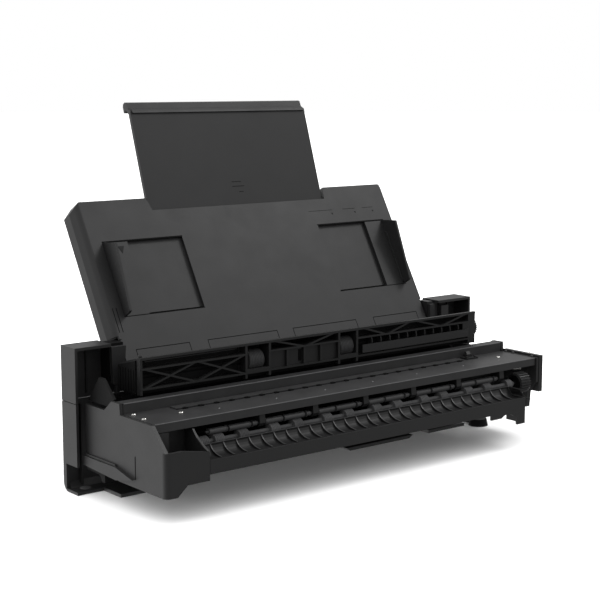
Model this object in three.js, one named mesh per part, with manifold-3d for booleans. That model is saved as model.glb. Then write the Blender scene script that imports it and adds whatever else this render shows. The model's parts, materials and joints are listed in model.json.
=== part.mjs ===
// Automatic sheet feeder for a wide desktop printer: a leaning load tray with
// sliding edge guides and a pull-out extension, a pick unit behind a steel deck,
// and a row of feed and pinch rollers along the front.
// Millimetres, +Z up, +Y to the rear. Outlines are laid out from the deck's front
// top edge; the whole assembly is then moved so that its origin is the middle of
// the footprint on the surface that it stands on.
import * as THREE from 'three';
import { mergeVertices } from 'three/addons/utils/BufferGeometryUtils.js';
import Module from 'manifold-3d';

const wasm = await Module();
wasm.setup();

// ---------------------------------------------------------------- dimensions
const GAP = 0.3;                 // clearance between pieces that touch
const WALL = 2.5;                // moulded wall
const MERGE = 1e-4;              // vertices closer than this are one

const FLOOR = -79;               // surface that the feeder stands on
const SEAM = 0;                  // joint between the two casing shells
const CASE_HALF = 233.6;
const CASE_FRONT = 101.5;
const CASE_REAR = 125;
const CASE_TOP = 47.8;
const CASE_CUTAWAY = -54.5;      // below this the casing side is a narrow strip
const CASE_STRIP = 5;
const TRAY_OPENING = [-198, 188]; // opening for the load plate
const BACK_NOTCH = 44.5;         // level to which the back wall rises behind the plate
const CASE_ROUND = 8;            // radius of the lower rear edge
const FOOT_THICK = 3;
const FOOT_FRONT = 74;
const MIDDLE_FOOT_FRONT = 71;
const ROUND_FOOT = [214, 68];    // x, y of the rubber foot's middle

const DECK_HALF = 221.5;
const DECK_DEPTH = 45.7;
const DECK_SHEET = 1.5;
const DECK_FLANGE = 7.3;
const STEP_HEIGHT = 9;
const STEP_DEPTH = 10.7;
const STRIP_SPAN = [-178, 156];
const STRIP_NOTCHES = 21;
const STRIP_PITCH = 16;

const ARM_OUTER = 225.2;
const ARM_WALL = 3;
const ARM_FRONT = -21;
const ARM_FOOT = -56;
const ARM_ROUND = 5;             // radius of the arm's front corner
const POCKET_INNER = 185;
const POCKET_TOP = -19.3;
const POCKET_SIDE = -23.5;       // level of the pocket's front wall at its inner end
const POCKET_FLOOR = -47.6;
const POCKET_REAR = 14;
const POCKET_WALL = 16;          // width of the box section along the arm's front

const APRON_BOTTOM = -42.5;
const APRON_TOP = -31;
const APRON_RIGHT = 186;
const APRON_SHEET = 2;
const PAN_SLOTS = 7;
const PAN_SLOT_PITCH = 46;
const PAN_SLOT_ROWS = [40, 58];
const GUIDE_EDGE_Y = -3;
const GUIDE_EDGE_Z = -22.6;
const GUIDE_HALF = 181.5;
const RIB_COUNT = 27;
const RIB_PITCH = 13.05;
const RIB_WIDTH = 1;

const FEED_AXIS = [4, -22.8];    // y, z of the feed shaft
const FEED_RADIUS = 5.2;
const FEED_SHAFT_RADIUS = 2.2;
const PINCH_AXIS = [5, -14.9];
const PINCH_RADIUS = 2.7;
const PINCH_PIN = 1.1;
const GROUP_COUNT = 6;
const GROUP_PITCH = 57.9;
const GROUP_START = -166.5;
const GROUP_WIDTH = 49;
const PAD_WIDTH = 9.5;
const FEED_GEAR_X = 197;
const FEED_GEAR_WIDTH = 13;
const FEED_GEAR_RADIUS = 9.6;
const FEED_GEAR_TEETH = 24;

const FRAME_HALF = 197;
const FRAME_RIGHT = 196.8;
const FRAME_FRONT = 58;
const FRAME_REAR = 92;
const FRAME_BOTTOM = 9.7;
const FRAME_TOP = 41.4;
const RAIL_LOW = 15.7;
const RAIL_HIGH = 32.6;
const WINDOWS = [[-86, -62.5], [20.5, 40]];
const ROOF_DROP = 8;             // fall of the roof towards the rear
const CROSS_BAYS = [[-193.5, -140], [-139, -88]];
const VEE_BAYS = [[-56, 14], [50, 108], [117, 184]];
const STRUT = 1.6;               // width of the lattice's slanted bars
const SILL_TOP = RAIL_LOW + 2.6; // lower edge of the roller windows

const PICK_AXIS = [68.5, 24.5];
const PICK_RADIUS = 9;
const PICK_SHAFT_RADIUS = 3;
const PICK_GEAR_RADIUS = 8.4;
const PICK_GEAR_TEETH = 24;
const PICK_GEAR_SPAN = [197.6, 202];
const PINION_TEETH = 14;
const MOTOR_RADIUS = 7.5;
const MOTOR_SPAN = [172, 194];   // inside the pick frame's right end
const MOTOR_SHAFT = 1.6;

const LEAN = THREE.MathUtils.degToRad(30);       // load plate, back from upright
const PLATE_ORIGIN_Y = 89.15;                    // where its face meets deck level
const PLATE_LEFT = -182;
const PLATE_RIGHT = 178.4;
const PLATE_LOW = 31;                            // distances up the slope
const PLATE_HIGH = 187.1;
const PLATE_SKIN = 3;
const PAN_DEPTH = 6;             // rear face of the pans that the guides run in
const PLATE_RIM = 17;
const FACE_INSET = 2;            // where the face starts to round into its shoulders
const CORNER_INSET = 2;          // where the slanted corners start, inside the edge
const NOTCH = [-108.9, 98.8];
const NOTCH_LOW = 174.6;
const RECESS_LOW = 75.2;
const RECESS_HIGH = 146.3;
const RECESS_DEPTH = 3;
const NECK_SLOT = [0.3, 1.9];    // above a recess's lower edge
const NECK = [0.6, 1.6];
const LEFT_RECESS = [-168.4, -83.2];
const RIGHT_RECESS = [79.2, 166];

const GUIDE_BASE = 25.6;         // width of a guide's foot on the plate
const GUIDE_WALL_LOW = 10;       // height of a guide's wall at its lower end
const GUIDE_WALL_HIGH = 19;
const GUIDE_SKIN = 2.2;
const RACK_PINION_RADIUS = 7;
const RACK_PINION_TEETH = 14;

const EXT_LEAN = THREE.MathUtils.degToRad(18);   // extension, more upright
const EXT_ANCHOR = [178.9, 150.9];               // y, z of a point on its face
const EXT_LEFT = -108.4;
const EXT_RIGHT = 98.2;
const EXT_THICK = 3.4;
const EXT_BELOW = 36;            // hidden length that stays in the sleeve
const EXT_ABOVE = 94.5;          // sheet above the anchor, up to its lip
const EXT_TRAVEL = 66;
const SLEEVE_TOP = -31;          // ends of the sleeve along the extension
const SLEEVE_WALL = 1.6;

// --------------------------------------------------------------- geometry kit
// Coordinates are rounded so that faces meant to lie in one plane do so exactly.
function toSolid(geometry) {
  const plain = geometry.clone();
  plain.deleteAttribute('normal');
  plain.deleteAttribute('uv');
  const merged = mergeVertices(plain, MERGE);
  const rounded = (value) => Math.round(value / MERGE) * MERGE;
  return new wasm.Manifold(new wasm.Mesh({
    numProp: 3,
    vertProperties: Float32Array.from(merged.attributes.position.array, rounded),
    triVerts: new Uint32Array(merged.index.array),
  }));
}

function toGeometry(solid) {
  const mesh = solid.getMesh();
  const geometry = new THREE.BufferGeometry();
  geometry.setAttribute('position', new THREE.BufferAttribute(mesh.vertProperties, 3));
  geometry.setIndex(new THREE.BufferAttribute(mesh.triVerts, 1));
  geometry.computeVertexNormals();
  return geometry;
}

function join(...geometries) {
  let solid = toSolid(geometries[0]);
  for (const geometry of geometries.slice(1)) solid = solid.add(toSolid(geometry));
  return toGeometry(solid);
}

function cut(base, ...tools) {
  let solid = toSolid(base);
  for (const tool of tools) solid = solid.subtract(toSolid(tool));
  return toGeometry(solid);
}

function box(x, y, z) {
  const geometry = new THREE.BoxGeometry(x[1] - x[0], y[1] - y[0], z[1] - z[0]);
  geometry.translate((x[0] + x[1]) / 2, (y[0] + y[1]) / 2, (z[0] + z[1]) / 2);
  return geometry;
}

function shapeOf(points) {
  return new THREE.Shape(points.map(([u, v]) => new THREE.Vector2(u, v)));
}

// Extrudes a [y, z] outline along X between two x values.
function alongX(outline, x0, x1) {
  const shape = outline instanceof THREE.Shape ? outline : shapeOf(outline);
  const geometry = new THREE.ExtrudeGeometry(shape, { depth: x1 - x0, bevelEnabled: false });
  const axes = new THREE.Matrix4().makeBasis(
    new THREE.Vector3(0, 1, 0), new THREE.Vector3(0, 0, 1), new THREE.Vector3(1, 0, 0));
  geometry.applyMatrix4(axes);
  geometry.translate(x0, 0, 0);
  return geometry;
}

// Extrudes an [x, z] outline along Y between two y values.
function alongY(outline, y0, y1) {
  const shape = outline instanceof THREE.Shape ? outline : shapeOf(outline);
  const geometry = new THREE.ExtrudeGeometry(shape, { depth: y1 - y0, bevelEnabled: false });
  geometry.rotateX(Math.PI / 2);
  geometry.translate(0, y1, 0);
  return geometry;
}

function rodX(radius, x0, x1, [y, z], sides = 20) {
  const geometry = new THREE.CylinderGeometry(radius, radius, x1 - x0, sides);
  geometry.rotateZ(-Math.PI / 2);
  geometry.translate((x0 + x1) / 2, y, z);
  return geometry;
}

function rodY(radius, y0, y1, [x, z], sides = 20) {
  const geometry = new THREE.CylinderGeometry(radius, radius, y1 - y0, sides);
  geometry.translate(x, (y0 + y1) / 2, 0);
  geometry.translate(0, 0, z);
  return geometry;
}

// A solid of revolution about a line parallel to X, from [x, radius] stations.
function turnedX(stations, [y, z], sides = 20) {
  const first = stations[0];
  const last = stations[stations.length - 1];
  const profile = [[first[0], 0], ...stations, [last[0], 0]];
  const points = profile.map(([x, radius]) => new THREE.Vector2(radius, x));
  const geometry = new THREE.LatheGeometry(points, sides);
  geometry.rotateZ(-Math.PI / 2);
  geometry.translate(0, y, z);
  return geometry;
}

// Points along a quadratic curve, both ends included.
function bend(from, control, to, steps) {
  const ends = [from, control, to].map(([u, v]) => new THREE.Vector2(u, v));
  const curve = new THREE.QuadraticBezierCurve(...ends);
  return curve.getPoints(steps).map((point) => [point.x, point.y]);
}

// A bar of square section between two [u, v] points of an outline's plane.
function barOutline([u0, v0], [u1, v1], width) {
  const length = Math.hypot(u1 - u0, v1 - v0);
  const du = (v0 - v1) / length * width / 2;
  const dv = (u1 - u0) / length * width / 2;
  return [[u0 + du, v0 + dv], [u0 - du, v0 - dv], [u1 - du, v1 - dv], [u1 + du, v1 + dv]];
}

function gearShape(pitchRadius, teeth, phase = 0) {
  const module = 2 * pitchRadius / teeth;
  const root = pitchRadius - 1.15 * module;
  const tip = pitchRadius + 0.85 * module;
  const step = 2 * Math.PI / teeth;
  const flanks = [[-0.29, root], [-0.13, tip], [0.13, tip], [0.29, root]];
  const points = [];
  for (let tooth = 0; tooth < teeth; tooth += 1) {
    for (const [share, radius] of flanks) {
      const angle = phase + (tooth + share) * step;
      points.push([radius * Math.cos(angle), radius * Math.sin(angle)]);
    }
  }
  return shapeOf(points);
}

function gearX(pitchRadius, teeth, bore, x0, x1, [y, z], phase = 0) {
  const shape = gearShape(pitchRadius, teeth, phase);
  shape.holes.push(new THREE.Path().absarc(0, 0, bore, 0, 2 * Math.PI, true));
  const geometry = alongX(shape, x0, x1);
  geometry.translate(0, y, z);
  return geometry;
}

// ------------------------------------------------------------------ materials
const FINISHES = {
  casing: [0x2f3032, 0.62, 0],
  frame: [0x202122, 0.55, 0],
  deck: [0x2b2c2e, 0.45, 0.3],
  plate: [0x3a3b3d, 0.7, 0],
  shaft: [0xb9bcc0, 0.3, 1],
  rubber: [0x55565a, 0.85, 0],
  roller: [0x4a4b4e, 0.5, 0],
  gear: [0x26272a, 0.5, 0],
  metal: [0x8f9296, 0.4, 1],
  board: [0x1f4a33, 0.6, 0],
};

const assembly = new THREE.Group();
const plateFrame = new THREE.Group();
const extensionFrame = new THREE.Group();

function addPart(name, finish, geometry, parent = assembly) {
  const [color, roughness, metalness] = FINISHES[finish];
  const material = new THREE.MeshStandardMaterial({ color, roughness, metalness });
  const mesh = new THREE.Mesh(geometry, material);
  mesh.name = name;
  parent.add(mesh);
  return mesh;
}

// --------------------------------------------------------------- rear casing
function casingWalls(low, high) {
  const half = CASE_HALF;
  const back = box([-half, half], [CASE_REAR - WALL, CASE_REAR], [low, high]);
  const left = box([-half, -half + WALL], [CASE_FRONT, CASE_REAR], [low, high]);
  const right = box([half - WALL, half], [CASE_FRONT, CASE_REAR], [low, high]);
  return [back, left, right];
}

function rearCasingUpper() {
  const low = SEAM + GAP;
  const lid = box([-CASE_HALF, CASE_HALF], [CASE_FRONT, CASE_REAR], [CASE_TOP - WALL, CASE_TOP]);
  const opening = box(TRAY_OPENING, [CASE_FRONT - 1, CASE_REAR - WALL], [13, CASE_TOP + 1]);
  const notch = box(TRAY_OPENING, [CASE_REAR - WALL - 1, CASE_REAR + 1], [BACK_NOTCH, CASE_TOP + 1]);
  return cut(join(lid, ...casingWalls(low, CASE_TOP)), opening, notch);
}

// Two shelves and a long middle foot reach forward from the floor of the casing.
function casingFeet() {
  const thick = [FLOOR, FLOOR + FOOT_THICK];
  const left = box([-208, -150], [FOOT_FRONT, CASE_FRONT + 1], thick);
  const right = box([150, 200], [FOOT_FRONT, CASE_FRONT + 1], thick);
  const middle = alongY([[44.5, thick[0]], [121, thick[0]], [126, thick[1]], [40, thick[1]]],
    MIDDLE_FOOT_FRONT, CASE_FRONT + 1);
  return [left, right, middle];
}

// Thickens the shell inside its lower rear edge, which is rounded off outside.
function casingCorner() {
  const [y, z] = [CASE_REAR - WALL + 0.5, FLOOR + WALL - 0.5];
  return alongX([[y - 6, z], [y, z], [y, z + 6]], -CASE_HALF + 1, CASE_HALF - 1);
}

function casingRounding() {
  const [y, z] = [CASE_REAR - CASE_ROUND, FLOOR + CASE_ROUND];
  const corner = box([-CASE_HALF - 1, CASE_HALF + 1], [y, CASE_REAR + 1], [FLOOR - 1, z]);
  return cut(corner, rodX(CASE_ROUND, -CASE_HALF - 2, CASE_HALF + 2, [y, z], 32));
}

function rearCasingLower() {
  const floor = box([-CASE_HALF, CASE_HALF], [CASE_FRONT, CASE_REAR], [FLOOR, FLOOR + WALL]);
  const shell = join(floor, ...casingWalls(FLOOR, SEAM - GAP), ...casingFeet());
  const below = [FLOOR + WALL, CASE_CUTAWAY];
  const front = [CASE_FRONT - 1, CASE_REAR - CASE_STRIP];
  const leftCut = box([-CASE_HALF - 1, -CASE_HALF + WALL + 1], front, below);
  const rightCut = box([CASE_HALF - WALL - 1, CASE_HALF + 1], front, below);
  return cut(join(shell, casingCorner()), leftCut, rightCut, casingRounding());
}

function roundFoot() {
  const height = 7;
  const geometry = new THREE.CylinderGeometry(8.5, 10, height, 24);
  geometry.rotateX(Math.PI / 2);
  geometry.translate(...ROUND_FOOT, FLOOR + height / 2);
  return join(geometry, box([210.6, 216.4], [68.5, CASE_FRONT - GAP], [FLOOR + 1, FLOOR + 4.6]));
}

// ----------------------------------------------------------------- side arms
// Outline of an arm's side wall, [y, z].
const ARM_OUTLINE = [
  [ARM_FRONT, POCKET_TOP], [-1.6, 0], [DECK_DEPTH - GAP, 0], [46.2, 9.4], [58.8, 9.1], [70, 0],
  [100.5, 0], [100.5, -53.6], [56.5, -53.1], [48.8, ARM_FOOT], [ARM_FRONT, ARM_FOOT],
];

function pocketFront() {
  const outline = [
    [-ARM_OUTER, ARM_FOOT], [-214, ARM_FOOT], [-204.5, POCKET_FLOOR], [-POCKET_INNER, POCKET_FLOOR],
    [-POCKET_INNER, POCKET_SIDE], [-209, POCKET_TOP], [-ARM_OUTER, POCKET_TOP],
  ];
  return alongY(outline, ARM_FRONT, ARM_FRONT + ARM_WALL);
}

// The inner wall of the front pocket ends in a curved edge below the deck.
function pocketInnerWall() {
  const top = -DECK_FLANGE - GAP - 1.2;
  const shape = new THREE.Shape();
  shape.moveTo(ARM_FRONT, POCKET_SIDE);
  shape.quadraticCurveTo(-4, -15, 1.2, top);
  shape.lineTo(POCKET_REAR, top);
  shape.lineTo(POCKET_REAR, POCKET_FLOOR);
  shape.lineTo(ARM_FRONT, POCKET_FLOOR);
  return alongX(shape, -POCKET_INNER, -POCKET_INNER + 2);
}

// Upright panel beside the pocket, below the deck's front edge.
function pocketPanel() {
  return box([-ARM_OUTER + 1, -ARM_OUTER + POCKET_WALL], [-1.8, 0.2], [-46.5, -7.9]);
}

function ledge() {
  const outline = [[100.5, -44], [48.3, -43.8], [23.4, -49.2], [48.8, ARM_FOOT + 1.5], [100.5, -52]];
  return alongX(outline, -ARM_OUTER - 3.4, -ARM_OUTER + 1);
}

// What the arm's rounded front corner leaves out of a square one.
function armRounding() {
  const [x, y] = [-ARM_OUTER + ARM_ROUND, ARM_FRONT + ARM_ROUND];
  const [low, high] = [ARM_FOOT - 1, -18.9];
  const rod = new THREE.CylinderGeometry(ARM_ROUND, ARM_ROUND, high - low + 2, 32);
  rod.rotateX(Math.PI / 2);
  rod.translate(x, y, (low + high) / 2);
  return cut(box([x - ARM_ROUND - 1, x], [y - ARM_ROUND - 1, y], [low, high]), rod);
}

function armSolid() {
  const wall = alongX(ARM_OUTLINE, -ARM_OUTER, -ARM_OUTER + ARM_WALL);
  const across = [-ARM_OUTER, -POCKET_INNER + 2];
  const floor = box(across, [ARM_FRONT, POCKET_REAR], [POCKET_FLOOR, POCKET_FLOOR + 2]);
  const bridge = box(across, [POCKET_REAR - 2, POCKET_REAR], [POCKET_FLOOR, -9]);
  const whole = join(wall, pocketFront(), pocketInnerWall(), pocketPanel(), ledge(), floor, bridge);
  return cut(whole, armRounding());
}

function mirrored(geometry) {
  const copy = toGeometry(toSolid(geometry));
  copy.scale(-1, 1, 1);
  const index = copy.index.array;
  for (let i = 0; i < index.length; i += 3) {
    const swap = index[i];
    index[i] = index[i + 1];
    index[i + 1] = swap;
  }
  copy.computeVertexNormals();
  return copy;
}

// The right arm has no box at its front: it stops behind the big feed gear.
function rightArm() {
  const wall = alongX(ARM_OUTLINE.filter(([y]) => y > ARM_FRONT)
    .concat([[20, ARM_FOOT], [20, -34], [6, -34], [-1.6, -24]]), -ARM_OUTER, -ARM_OUTER + ARM_WALL);
  return mirrored(join(wall, box([-ARM_OUTER, -POCKET_INNER], [52, 54], [-53, -12])));
}

function gablePlate() {
  const outline = [[101, 2.6], [96, 8], [83, 25], [76, 25], [60, 10], [64, 2.6]];
  return alongX(outline, -ARM_OUTER + ARM_WALL + GAP, -ARM_OUTER + ARM_WALL + GAP + 2.4);
}

function hookBracket() {
  const outline = [[100.6, -56.5], [100.6, -54.4], [72, -54.4], [72, -63], [76, -63], [80, -57.5]];
  return alongX(outline, -224.5, -216);
}

function rightEndPlate() {
  const outline = [
    [-2.2, 2], [46, 2], [46, -20], [20, -20], [18, -52], [13.5, -52], [12, -34], [-2.2, -34],
  ];
  return alongX(outline, ARM_OUTER + GAP, ARM_OUTER + 5.2);
}

// ------------------------------------------------------------ deck and front
function deckBeam() {
  const t = DECK_SHEET;
  const back = DECK_DEPTH + STEP_DEPTH;
  const outline = [
    [0, 0], [DECK_DEPTH + GAP, 0], [DECK_DEPTH + GAP, STEP_HEIGHT], [back, STEP_HEIGHT],
    [back, 3], [back - t, 3], [back - t, STEP_HEIGHT - t], [DECK_DEPTH + GAP + t, STEP_HEIGHT - t],
    [DECK_DEPTH + GAP + t, -t], [t, -t], [t, -DECK_FLANGE], [0, -DECK_FLANGE],
  ];
  return alongX(outline, -DECK_HALF, DECK_HALF);
}

function deckStrip() {
  const strip = box(STRIP_SPAN, [33.5, 43.5], [GAP, 1.1]);
  const notches = [];
  for (let i = 0; i < STRIP_NOTCHES; i += 1) {
    const x = STRIP_SPAN[0] + 6 + i * STRIP_PITCH;
    notches.push(box([x, x + 4], [32.5, 34.7], [-1, 2]));
  }
  return cut(strip, ...notches);
}

function deckLatch() {
  return join(box([162, 177], [34, 43.5], [GAP, 1.6]), box([166, 173], [38, 43.5], [1, 4.2]));
}

function frontApron() {
  const right = APRON_RIGHT;
  const sheet = [ARM_FRONT, ARM_FRONT + APRON_SHEET];
  const wall = box([-POCKET_INNER + 2 + GAP, right], sheet, [APRON_BOTTOM, APRON_TOP]);
  const returnWall = box([right - APRON_SHEET, right], [ARM_FRONT, 1.5], [ARM_FOOT, APRON_TOP]);
  const post = box([right - 11, right], sheet, [ARM_FOOT, APRON_TOP]);
  const arch = rodY(13.5, ARM_FRONT - 1, ARM_FRONT + 4, [162, -57.5], 24);
  const foot = box([right - 46, right], sheet, [-47, APRON_BOTTOM + 1]);
  return cut(join(wall, returnWall, post, foot), arch);
}

function bottomPan() {
  const pan = box([-POCKET_INNER + 2 + GAP, 183.5], [ARM_FRONT + 2 + GAP, CASE_FRONT - GAP],
    [APRON_BOTTOM, APRON_BOTTOM + 2]);
  const slots = [];
  for (let i = 0; i < PAN_SLOTS; i += 1) {
    const x = -150 + i * PAN_SLOT_PITCH;
    for (const y of PAN_SLOT_ROWS) {
      slots.push(box([x, x + 26], [y, y + 4], [APRON_BOTTOM - 1, APRON_BOTTOM + 3]));
    }
  }
  return cut(pan, ...slots);
}

// The lower guide is a thin trough below the rollers, with slim fins across it.
function shelfOutline() {
  const y = GUIDE_EDGE_Y;
  const z = GUIDE_EDGE_Z;
  return [
    ...bend([-18.7, APRON_TOP], [-6, -33.5], [y + 0.4, z - 1.9], 8), [y + 0.2, z], [y + 1.1, z - 0.3],
    ...bend([y + 1.3, z - 2], [-4.6, -35.4], [-18.7, APRON_TOP - 2.4], 8),
  ];
}

function finOutline() {
  const edge = bend([GUIDE_EDGE_Y + 0.5, GUIDE_EDGE_Z - 0.4], [-6, -30.2], [-18.5, APRON_TOP + GAP], 6);
  const root = bend([-18.5, APRON_TOP - 1], [-5.4, -34.4], [GUIDE_EDGE_Y + 0.7, GUIDE_EDGE_Z - 1.8], 4);
  return [...edge, ...root];
}

function lowerPaperGuide() {
  const fins = [];
  for (let i = 0; i < RIB_COUNT; i += 1) {
    const x = -170 + i * RIB_PITCH;
    fins.push(alongX(finOutline(), x, x + RIB_WIDTH));
  }
  return join(alongX(shelfOutline(), -GUIDE_HALF, GUIDE_HALF), ...fins);
}

// Sheet that carries the paper from the load plate down to the feed rollers.
function paperChute() {
  const upper = new THREE.CubicBezierCurve(
    new THREE.Vector2(100, 22), new THREE.Vector2(80, 6),
    new THREE.Vector2(60, -10), new THREE.Vector2(15.5, -16.5));
  const top = upper.getPoints(12).map((point) => [point.x, point.y]);
  const bottom = top.map(([y, z]) => [y, z - 1.6]).reverse();
  return alongX([...top, ...bottom], -GUIDE_HALF, GUIDE_HALF);
}

// -------------------------------------------------------- feed and pinch rollers
function groupStart(group) {
  return GROUP_START + group * GROUP_PITCH;
}

// One shaft with a pair of rubber-faced rollers below each pinch group.
function feedShaft() {
  const stations = [[-182, FEED_SHAFT_RADIUS]];
  const pads = [-178.5];
  for (let group = 0; group < GROUP_COUNT; group += 1) {
    pads.push(groupStart(group) + 3.5, groupStart(group) + 28.5);
  }
  pads.push(182.5);
  for (const x of pads) {
    const width = x > 180 ? 7 : PAD_WIDTH;
    stations.push([x, FEED_SHAFT_RADIUS], [x, FEED_RADIUS]);
    stations.push([x + width, FEED_RADIUS], [x + width, FEED_SHAFT_RADIUS]);
  }
  stations.push([FEED_GEAR_X + FEED_GEAR_WIDTH + 4, FEED_SHAFT_RADIUS]);
  return turnedX(stations, FEED_AXIS, 16);
}

function feedGear() {
  return gearX(FEED_GEAR_RADIUS, FEED_GEAR_TEETH, FEED_SHAFT_RADIUS + GAP, FEED_GEAR_X,
    FEED_GEAR_X + FEED_GEAR_WIDTH, FEED_AXIS);
}

// Two rollers and an end collar turned in one piece with their pin.
function pinchRoller(group) {
  const x = groupStart(group);
  const r = PINCH_RADIUS;
  const pin = PINCH_PIN;
  const stations = [
    [x - 2.5, pin], [x, pin], [x, r], [x + 18, r], [x + 18, pin], [x + 20, pin], [x + 20, r], [x + 42, r],
    [x + 42, pin], [x + 44, pin], [x + 44, r * 0.8], [x + GROUP_WIDTH, r * 0.8], [x + GROUP_WIDTH, pin],
    [x + GROUP_WIDTH + 4, pin],
  ];
  return turnedX(stations, PINCH_AXIS, 16);
}

// Each holder is a dark bracket under the deck that reaches down between groups.
function pinchHolder(group) {
  const x = groupStart(group) + GROUP_WIDTH + 2;
  const outline = [[3, -3], [16, -3], [14, -15], [9, -18], [4.4, -18.2], [1.7, -15]];
  const bore = rodX(PINCH_PIN + GAP, x - 1, x + 7, PINCH_AXIS, 12);
  return cut(alongX(outline, x, x + 5.8), bore);
}

function pinchBar() {
  return box([-183, 183], [18, 21], [-6, -DECK_SHEET - GAP]);
}

// ------------------------------------------------------------------ pick unit
function latticeBars() {
  const bars = [];
  const depth = [FRAME_FRONT + 0.4, FRAME_FRONT + 4];
  const strut = (from, to) => bars.push(alongY(barOutline(from, to, STRUT), ...depth));
  for (const [x0, x1] of CROSS_BAYS) {
    strut([x0, RAIL_LOW - 1], [x1, RAIL_HIGH - 0.6]);
    strut([x0, RAIL_HIGH - 0.6], [x1, RAIL_LOW - 1]);
  }
  for (const [x0, x1] of VEE_BAYS) {
    const middle = (x0 + x1) / 2;
    strut([x0, FRAME_TOP - 1.3], [middle - 1, RAIL_HIGH - 1]);
    strut([middle + 1, RAIL_HIGH - 1], [x1, FRAME_TOP - 1.3]);
  }
  return bars;
}

// Height of the middle of the roof at y; the roof is level at the front and then falls.
function roofAt(y) {
  const fall = ROOF_DROP / (FRAME_REAR - FRAME_FRONT - 3);
  return FRAME_TOP - 1 - Math.max(0, y - FRAME_FRONT - 3) * fall;
}

// An upright slab across the frame's depth, from its lower edge to inside the roof.
function upright(x0, x1, front, rear, low) {
  const knee = FRAME_FRONT + 3;
  const roof = [rear, knee, front].map((y) => [y, roofAt(y)]);
  const outline = [[front, low], [rear, low], ...roof];
  return alongX(outline, x0, x1);
}

function frameRoof() {
  const line = [FRAME_FRONT, FRAME_FRONT + 3, FRAME_REAR];
  const upper = line.map((y) => [y, roofAt(y) + 1]);
  const lower = line.map((y) => [y, roofAt(y) - 1]).reverse();
  return alongX([...upper, ...lower], -FRAME_HALF, FRAME_RIGHT);
}

function framePosts() {
  const [front, rear] = [FRAME_FRONT + 0.2, FRAME_FRONT + 15];
  const low = FRAME_BOTTOM + 0.5;
  const posts = WINDOWS.flatMap(([left, right]) => [
    upright(left - 2.4, left, front, rear, low), upright(right, right + 2.4, front, rear, low)]);
  posts.push(upright(187, FRAME_RIGHT - 0.6, front, rear, low));
  return posts;
}

function panelRibs() {
  return [-42, -22.5, -3].map((x) => (
    box([x, x + 2], [FRAME_FRONT + 0.6, FRAME_FRONT + 9], [RAIL_LOW - 0.8, RAIL_HIGH - 0.8])));
}

function frameWebs() {
  const depth = [FRAME_FRONT + 9, FRAME_FRONT + 11];
  const height = [FRAME_BOTTOM + 0.9, roofAt(FRAME_FRONT + 10)];
  return [
    box([-FRAME_HALF + 1, -88], depth, height),
    box([41, 188], depth, height),
    box([-61, 19], [FRAME_FRONT + 3, FRAME_FRONT + 5], [RAIL_LOW - 1, RAIL_HIGH - 1]),
    box([-FRAME_HALF + 0.6, FRAME_RIGHT - 0.6], [FRAME_REAR - 1.8, FRAME_REAR - 0.2],
      [22, roofAt(FRAME_REAR - 1)]),
  ];
}

// The rails stop short of each other's faces so that no two lie in one plane.
function frameRails() {
  const across = [-FRAME_HALF + 0.4, FRAME_RIGHT - 0.4];
  const front = FRAME_FRONT;
  return [
    box(across, [front + 7.6, front + 9.5], [FRAME_BOTTOM, RAIL_LOW - 0.4]),
    box(across, [front, front + 10], [RAIL_LOW - 1.6, RAIL_LOW]),
    box(across, [front, front + 16], [RAIL_HIGH - 1.6, RAIL_HIGH]),
  ];
}

// A long open box: lattice at the front, roof falling to the rear, open below the rollers.
function pickFrame() {
  const front = FRAME_FRONT;
  const ends = [[-FRAME_HALF, -FRAME_HALF + 2.4], [FRAME_RIGHT - 2.4, FRAME_RIGHT]].map(([x0, x1]) => (
    upright(x0 + 0.1, x1 - 0.1, front + 0.3, FRAME_REAR - 0.1, FRAME_BOTTOM + 0.2)));
  const sills = WINDOWS.map(([x0, x1]) => (
    box([x0 - 1.6, x1 + 1.6], [front + 0.1, front + 2.6], [RAIL_LOW - 1, SILL_TOP - 0.1])));
  const whole = join(frameRoof(), ...frameRails(), ...frameWebs(), ...ends, ...sills,
    ...latticeBars(), ...framePosts(), ...panelRibs());
  const openings = WINDOWS.map(([x0, x1]) => (
    box([x0, x1], [front - 1, front + 8], [SILL_TOP, 37.5])));
  const clearance = WINDOWS.map(([x0, x1]) => (
    box([x0 + 0.1, x1 - 0.1], [front + 4, front + 22], [FRAME_BOTTOM - 1, 34.2])));
  const bore = rodX(PICK_SHAFT_RADIUS + 0.5, -FRAME_HALF - 1, FRAME_RIGHT + 1, PICK_AXIS, 16);
  const motorBore = rodX(MOTOR_SHAFT + 0.8, FRAME_RIGHT - 4, FRAME_RIGHT + 1, MOTOR_AXIS, 16);
  return cut(whole, ...openings, ...clearance, bore, motorBore);
}

function frameBar() {
  return box([46.9, 186.4], [FRAME_FRONT - 1.2, FRAME_FRONT - GAP], [17.4, 25]);
}

function pickShaft() {
  return rodX(PICK_SHAFT_RADIUS, -FRAME_HALF - 1.2, PICK_GEAR_SPAN[1] + 1, PICK_AXIS, 16);
}

function pickRoller([left, right]) {
  const middle = (left + right) / 2;
  const body = rodX(PICK_RADIUS, middle - 7.6, middle + 7.6, PICK_AXIS, 32);
  return cut(body, rodX(PICK_SHAFT_RADIUS + GAP, left, right, PICK_AXIS, 16));
}

function pickGear() {
  return gearX(PICK_GEAR_RADIUS, PICK_GEAR_TEETH, PICK_SHAFT_RADIUS + GAP, ...PICK_GEAR_SPAN, PICK_AXIS);
}

const PINION_RADIUS = PICK_GEAR_RADIUS * PINION_TEETH / PICK_GEAR_TEETH;
const MOTOR_AXIS = [PICK_AXIS[0] + PICK_GEAR_RADIUS + PINION_RADIUS + 0.25, PICK_AXIS[1]];

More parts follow.
